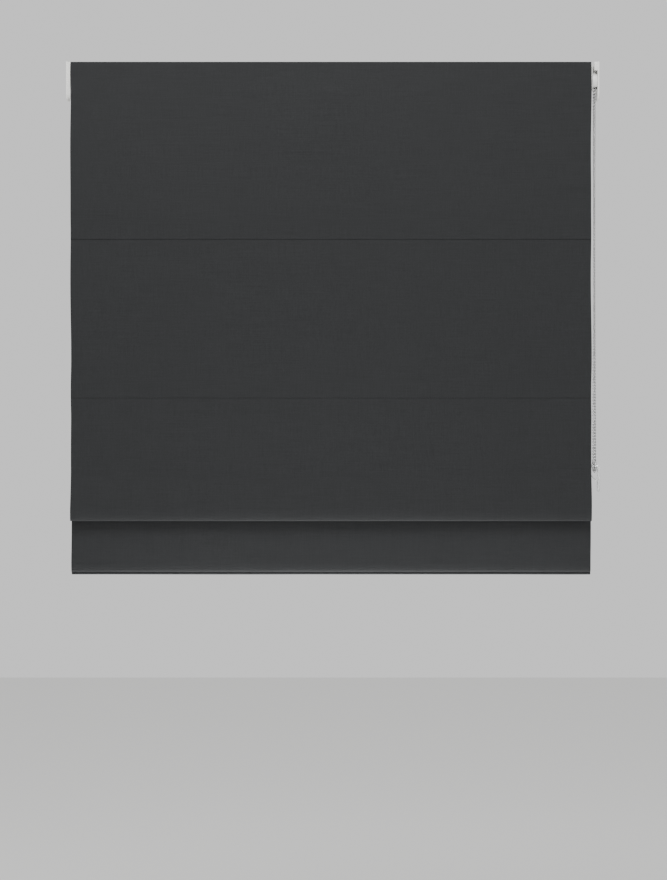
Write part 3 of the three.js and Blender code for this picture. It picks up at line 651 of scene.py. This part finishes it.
for k in (2, 3):
    low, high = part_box(f"crease_{k}")
    half = cloth["thickness"] / 2
    frontY, backY = low.y + cloth["thickness"], high.y - cloth["thickness"]
    radius = (backY - frontY) / 2
    bottom, bendTop = low.z + half + radius, high.z
    if k == 2:
        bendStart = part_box("panel_2")[0].z
        topRun = joinRuns([(planes[2] - 2 * pressed["radius"],
                            rodHeights[2] + pressed["lap"] - pressed["tuck"])],
                          arcRun(planes[2] - pressed["radius"], rodHeights[2] + pressed["lap"],
                                 pressed["radius"], math.pi, 0, 6),
                          resample([(planes[2], rodHeights[2] + pressed["lap"]), (planes[2], bendStart)],
                                   cloth["rowStep"]))
    else:
        topRun = overRod(3)
    flareTop = low.z + half + folds[k]["flare"]
    flare = [(frontY + radius * (1 - math.cos(t)), flareTop - folds[k]["flare"] * math.sin(t))
             for t in np.linspace(0, math.pi / 2, 26)]
    path = joinRuns(topRun, easedRun(topRun[-1], (frontY, flareTop)), flare,
                    arcRun(frontY + radius, bottom, radius, 1.5 * math.pi, 2 * math.pi, 8),
                    resample([(backY, bottom), (backY, bendTop)], cloth["rowStep"]))
    marks = [(z, cloth["creaseHeight"]) for z in memoryCreases.get(k, [])]
    front = clothSheet(f"cloth_front_{k}", path, 1.3 + k, marks, folds[k]["narrow"], puckers.get(k, ()),
                       hairpin["turned"] if k == 3 else 0.0)
    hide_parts(f"panel_{k}", *([f"draw_{k}"] if k == 2 else []), f"crease_{k}")
    for piece in (front, stitchHems(f"cloth_front_{k}")):
        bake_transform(piece)
    width = clothRight - clothLeft - 2 * folds[k]["narrow"]
    backEnd = (overPlanes[k + 1] - 2 * hairpin["radius"], overTops[k + 1] - hairpin["foot"])
    backPath = easedRun((backY, bendTop), backEnd)
    back = clothSheet(f"cloth_back_{k}", backPath, 2.1 + k, (), folds[k]["narrow"])
    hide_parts(f"back_{k}")
    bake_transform(back)
print("folded sections ready")

# The last length hangs from the fourth rod and turns up round the bottom bar.
barLow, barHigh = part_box("bottom_bar")
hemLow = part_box("flap")[0].z
barGap = 0.0003
wrap = (barHigh.y - barLow.y) / 2 + barGap + cloth["thickness"]
hemTurn = hemLow + cloth["thickness"] / 2 + wrap
flapPath = joinRuns(overRod(4),
                    easedRun((flapPlane, overTops[4] - hairpin["foot"]), (flapPlane, barHigh.z + 0.02)),
                    easedRun((flapPlane, barHigh.z + 0.02), (flapPlane - wrap, barHigh.z)),
                    resample([(flapPlane - wrap, barHigh.z), (flapPlane - wrap, hemTurn)], cloth["rowStep"]),
                    arcRun(flapPlane, hemTurn, wrap, math.pi, 2 * math.pi, 10),
                    resample([(flapPlane + wrap, hemTurn), (flapPlane + wrap, barHigh.z)], cloth["rowStep"]),
                    easedRun((flapPlane + wrap, barHigh.z), (flapPlane + 0.0013, barHigh.z + 0.006)))
flap = clothSheet("cloth_flap", flapPath, 6.4, (), folds[3]["narrow"], (), hairpin["turned"])
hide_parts("flap")
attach(flap, "flap")
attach(stitchHems("cloth_flap"), "flap")
print("flap ready")


# Rod pockets are tubes of lining sewn on behind the cloth, drawn in a little between stitches.
pocket = {"columns": 420, "sides": 18, "wall": 0.0006, "pucker": 0.00022, "rippleLength": 0.017}


def makePocket(k):
    low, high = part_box(f"rod_pocket_{k}")
    rod = middle(f"rod_{k}")
    outer = (high.z - low.z) / 2
    xs = np.linspace(low.x, high.x, pocket["columns"])
    angles = np.linspace(0, 2 * math.pi, pocket["sides"], endpoint=False)
    x, a = np.meshgrid(xs, angles, indexing="ij")
    seam = np.exp(-((a - math.pi / 2) / 0.5) ** 2)   # the stitched line along the top
    ripple = pocket["pucker"] * (np.sin(x * 2 * math.pi / pocket["rippleLength"] + 2 * np.sin(x * 9))
                                 * (0.4 + 0.6 * seam) - 1)
    layers = []
    for radius in (outer + ripple, outer + ripple - pocket["wall"]):
        layers.append(np.stack([x, rod.y + radius * np.cos(a), rod.z + radius * np.sin(a)], -1).reshape(-1, 3))
    n, m = x.shape
    grid = np.arange(n * m).reshape(n, m)
    nextSide = np.roll(grid, -1, axis=1)
    quads = np.stack([grid[:-1], grid[1:], nextSide[1:], nextSide[:-1]], -1).reshape(-1, 4)
    ends = [np.stack([grid[0], nextSide[0], nextSide[0] + n * m, grid[0] + n * m], -1),
            np.stack([nextSide[-1], grid[-1], grid[-1] + n * m, nextSide[-1] + n * m], -1)]
    faces = np.concatenate([quads[:, ::-1], quads + n * m] + ends)
    piece = fromArrays(f"pocket_{k}", np.concatenate(layers), faces.tolist())
    sharpenEdges(piece.data, math.radians(50))
    paint(piece, liningCloth)
    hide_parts(f"rod_pocket_{k}")
    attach(piece, bodyOf[f"rod_pocket_{k}"])


ringSize = {"radius": 0.0038, "wire": 0.0009, "outer": 0.005}
cordPlaces = {side: middle(f"lift_cord_{side}").x for side in sides}


def ringPlane(k):
    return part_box(f"rod_pocket_{k}")[1].y - ringSize["outer"]


for k in (1, 2, 3, 4):
    makePocket(k)
    wire = [(ringSize["radius"] + ringSize["wire"] * math.cos(a), ringSize["wire"] * math.sin(a))
            for a in np.linspace(0, 2 * math.pi, 12, endpoint=False)]
    for side in sides:
        centre = Vector((cordPlaces[side], ringPlane(k), rodHeights[k]))
        ring = paint(turned(f"ring_{k}_{side}", wire, centre, 36), whitePlastic)
        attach(ring, bodyOf[f"rod_pocket_{k}"])
        rod = middle(f"rod_{k}")
        gather = [(rod.y + 0.0033 + 0.0016 * math.cos(t) + 0.0002, rod.z + 0.0013 * math.sin(t))
                  for t in np.linspace(0, 2 * math.pi, 14, endpoint=False)]
        tie = sweep(f"ring_tie_{k}_{side}", [Vector((cordPlaces[side], *p)) for p in gather], 0.00035, 6,
                    closed=True)
        paint(tie, paleThread)
        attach(tie, bodyOf[f"rod_pocket_{k}"])
print("rod pockets and rings ready")

# Lift cords: the two upper lengths are attached to their sections, and the two lower
# lengths are each made as an upper and a lower half.
cordSize = {"radius": 0.0007, "strand": 0.00012, "lay": 0.0045, "step": 0.0012, "knot": 0.0021}


def braid(name, first, last):
    # a round cord with a twisted strand pattern raised on it
    first, last = Vector(first), Vector(last)
    count = max(int((last - first).length / cordSize["step"]), 4)
    points, faces, sidesAround = [], [], 12
    for i in range(count + 1):
        centre = first.lerp(last, i / count)
        for s in range(sidesAround):
            a = 2 * math.pi * s / sidesAround
            twist = 2 * math.pi * (last - first).length * (i / count) / cordSize["lay"]
            crossing = math.cos(3 * a - twist) * math.cos(3 * a + twist)
            r = cordSize["radius"] - cordSize["strand"] * (0.5 + 0.5 * crossing)
            points.append(centre + Vector((math.cos(a) * r, math.sin(a) * r, 0)))
    for i in range(count):
        for s in range(sidesAround):
            t = (s + 1) % sidesAround
            faces.append((i * sidesAround + s, (i + 1) * sidesAround + s,
                          (i + 1) * sidesAround + t, i * sidesAround + t))
    faces.append(tuple(range(sidesAround)))
    faces.append(tuple(count * sidesAround + s for s in reversed(range(sidesAround))))
    return paint(fromArrays(name, points, faces), cordCloth)


spoolPoint = middle("drive_shaft").z
for side in sides:
    x = cordPlaces[side]
    rings = [Vector((x, ringPlane(k), rodHeights[k])) for k in (1, 2, 3, 4)]
    start = Vector((x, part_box(f"lift_cord_{side}")[0].y + cordSize["radius"], spoolPoint))
    upper = [braid(f"cord_{side}_0", start, rings[0]), braid(f"cord_{side}_1", rings[0], rings[1])]
    for k, (piece, top, drop) in enumerate(zip(upper, (start, rings[0]), (rings[0], rings[1]))):
        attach(piece, sections[k])
        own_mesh(piece)
    for k in (2, 3):
        half = rings[k - 1].lerp(rings[k], 0.5)
        for part, (a, b) in {"upper": (rings[k - 1], half), "lower": (half, rings[k])}.items():
            piece = braid(f"cord_{side}_{k}_{part}", a, b)
            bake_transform(piece)
    knotCentre = rings[3] + Vector((0, 0, -0.005))
    turns = [knotCentre + Vector((math.cos(t) * (0.0011 + 0.0007 * math.cos(1.5 * t)),
                                  math.sin(t) * (0.0011 + 0.0007 * math.cos(1.5 * t)),
                                  0.0012 * math.sin(1.5 * t)))
             for t in np.linspace(0, 4 * math.pi, 64, endpoint=False)]
    knot = paint(sweep(f"knot_{side}", turns, 0.0007, 10, closed=True), cordCloth)
    tailEnd = paint(sweep(f"cord_tail_{side}", [rings[3], knotCentre], 0.0007, 10), cordCloth)
    for piece in (knot, tailEnd):
        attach(piece, "flap")
    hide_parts(f"lift_cord_{side}")
print("lift cords ready")

# The chain runs down from the wheel, turns with the tidy's pulley and comes back up.
chain = {"bead": 0.00225, "pitch": 0.006, "link": 0.0006, "turn": math.radians(15), "across": 12}
wheel, axle = middle("chain_wheel"), middle("drive_shaft")
chainX = middle("chain_guard").x
wheelZ, wheelY = axle.z, axle.y
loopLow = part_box("bead_chain")[0].z
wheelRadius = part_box("bead_chain")[1].z - wheelZ - chain["bead"]
loopZ = loopLow + chain["bead"] + wheelRadius


def chainPoint(offset, z):
    share = min(max((wheelZ - z) / (wheelZ - loopZ), 0), 1)
    angle = chain["turn"] * share
    return Vector((chainX + offset * math.sin(angle), wheelY + offset * math.cos(angle), z))


def chainRoute():
    route = []
    for a in np.linspace(0, math.pi, 40, endpoint=False):
        route.append(chainPoint(wheelRadius * math.cos(a), wheelZ + wheelRadius * math.sin(a)))
    for s in np.linspace(0, 1, 200, endpoint=False):
        route.append(chainPoint(-wheelRadius, wheelZ + (loopZ - wheelZ) * s))
    for a in np.linspace(math.pi, 2 * math.pi, 40, endpoint=False):
        route.append(chainPoint(wheelRadius * math.cos(a), loopZ + wheelRadius * math.sin(a)))
    for s in np.linspace(0, 1, 200, endpoint=False):
        route.append(chainPoint(wheelRadius, loopZ + (wheelZ - loopZ) * s))
    return route


def beadRun(name, places):
    # a ball at each place, with a short link between each two
    points, faces = [], []
    rings, around = 8, chain["across"]
    for i, place in enumerate(places):
        nearby = places[i + 1] if i + 1 < len(places) else places[i - 1]
        base = len(points)
        points.append(place + Vector((0, 0, chain["bead"])))
        for r in range(1, rings):
            polar = math.pi * r / rings
            for s in range(around):
                a = 2 * math.pi * s / around
                points.append(place + chain["bead"] * Vector((math.sin(polar) * math.cos(a),
                                                              math.sin(polar) * math.sin(a), math.cos(polar))))
        points.append(place - Vector((0, 0, chain["bead"])))
        last = len(points) - 1
        for s in range(around):
            t = (s + 1) % around
            faces.append((base, base + 1 + s, base + 1 + t))
            faces.append((last, last - around + t, last - around + s))
            for r in range(rings - 2):
                top, under = base + 1 + r * around, base + 1 + (r + 1) * around
                faces.append((top + s, under + s, under + t, top + t))
        if i + 1 < len(places):
            along = (nearby - place).normalized()
            first = along.orthogonal().normalized()
            second = along.cross(first)
            base = len(points)
            for end in (place + along * chain["bead"] * 0.9, nearby - along * chain["bead"] * 0.9):
                for s in range(6):
                    a = math.pi * s / 3
                    points.append(end + (first * math.cos(a) + second * math.sin(a)) * chain["link"])
            for s in range(6):
                t = (s + 1) % 6
                faces.append((base + s, base + t, base + 6 + t, base + 6 + s))
            faces.append(tuple(base + s for s in reversed(range(6))))
            faces.append(tuple(base + 6 + s for s in range(6)))
    return paint(fromArrays(name, points, faces), beadMetal)


route = chainRoute()
spans = [0.0]
for i in range(len(route)):
    spans.append(spans[-1] + (route[(i + 1) % len(route)] - route[i]).length)
beadCount = round(spans[-1] / chain["pitch"])
places = []
for i in range(beadCount):
    at = spans[-1] * i / beadCount
    j = max(index for index, value in enumerate(spans[:-1]) if value <= at)
    share = (at - spans[j]) / (spans[j + 1] - spans[j])
    places.append(route[j].lerp(route[(j + 1) % len(route)], share))
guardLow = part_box("chain_guard")[0].z
hanging = [i for i, place in enumerate(places) if place.z < guardLow]
onWheel = places[hanging[-1]:] + places[:hanging[0] + 1]
loosePlaces = places[hanging[0]:hanging[-1] + 1]
loose = beadRun("chain_hanging", loosePlaces)
held = beadRun("chain_on_wheel", onWheel[1:-1])
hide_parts("bead_chain")
for piece in (loose, held):
    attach(piece, "head")

# Hard pieces keep their CAD shapes, with their edges broken.
hardFinish = {
    "headrail": (0.0004, railMetal), "bottom_bar": (0.0004, railMetal),
    "end_plate_left": (0.0007, whitePlastic), "end_plate_right": (0.0007, whitePlastic),
    "idle_bearing": (0.0003, whitePlastic), "chain_guard": (0.0003, whitePlastic),
    "clutch_housing": (0.0005, whitePlastic), "clutch_hub": (0.0002, zincMetal),
    "clutch_spring": (0.0001, springMetal), "drive_shaft": (0.0003, zincMetal),
    "chain_wheel": (0.0002, whitePlastic), "hook_tape": (0.0001, tapeCloth), "loop_tape": (0.0001, tapeCloth),
    "bar_cap_left": (0.0004, whitePlastic), "bar_cap_right": (0.0004, whitePlastic),
    "chain_tidy_body": (0.0005, clearPlastic), "chain_tidy_pulley": (0.0002, clearPlastic),
    "chain_tidy_axle": (0.0002, zincMetal), "chain_tidy_screw": (0.0003, zincMetal),
}
for side in sides:
    hardFinish[f"bracket_{side}"] = (0.0004, zincMetal)
    hardFinish[f"bracket_cam_{side}"] = (0.0003, whitePlastic)
    hardFinish[f"bracket_screw_{side}"] = (0.0003, zincMetal)
    hardFinish[f"cord_spool_{side}"] = (0.0003, whitePlastic)
    hardFinish[f"spool_cradle_{side}"] = (0.0003, whitePlastic)
for k in (1, 2, 3, 4):
    hardFinish[f"rod_{k}"] = (0.0003, glassRod)
for node, (width, finish) in hardFinish.items():
    refined(node, f"{node}_finished", width, bodyOf[node], finish)
print("hard pieces ready")

# room: a pale floor well below, plain white air, and soft lights
floorMaterial, floorTree, floorShader = startMaterial("floor")
floorShader.inputs["Base Color"].default_value = (0.78, 0.78, 0.77, 1)
floorShader.inputs["Roughness"].default_value = 0.8
floorHeight = -2.0
floorReach = 8
corners = [(-1, -1), (1, -1), (1, 1), (-1, 1)]
floor = fromArrays("floor", [(x * floorReach, y * floorReach, floorHeight) for x, y in corners],
                   [(0, 1, 2, 3)])
paint(floor, floorMaterial)
world = bpy.data.worlds.new("World")
bpy.context.scene.world = world
world.use_nodes = True
world.node_tree.nodes["Background"].inputs["Color"].default_value = (1, 1, 1, 1)
world.node_tree.nodes["Background"].inputs["Strength"].default_value = 0.85
lamps = {
    "key": {"place": (-0.3, -1.7, 1.9), "size": 1.4, "power": 122},
    "fill": {"place": (2.4, -2.6, 0.2), "size": 2.2, "power": 12},
    "under": {"place": (0.0, -0.13, -1.9), "size": 1.0, "power": 40},
}
for name, settings in lamps.items():
    data = bpy.data.lights.new(name, "AREA")
    data.energy, data.size = settings["power"], settings["size"]
    lamp = bpy.data.objects.new(name, data)
    lamp.location = settings["place"]
    lamp.rotation_euler = (Vector((0, 0, -0.8)) - lamp.location).to_track_quat("-Z", "Y").to_euler()
    bpy.context.scene.collection.objects.link(lamp)
print("lights ready")
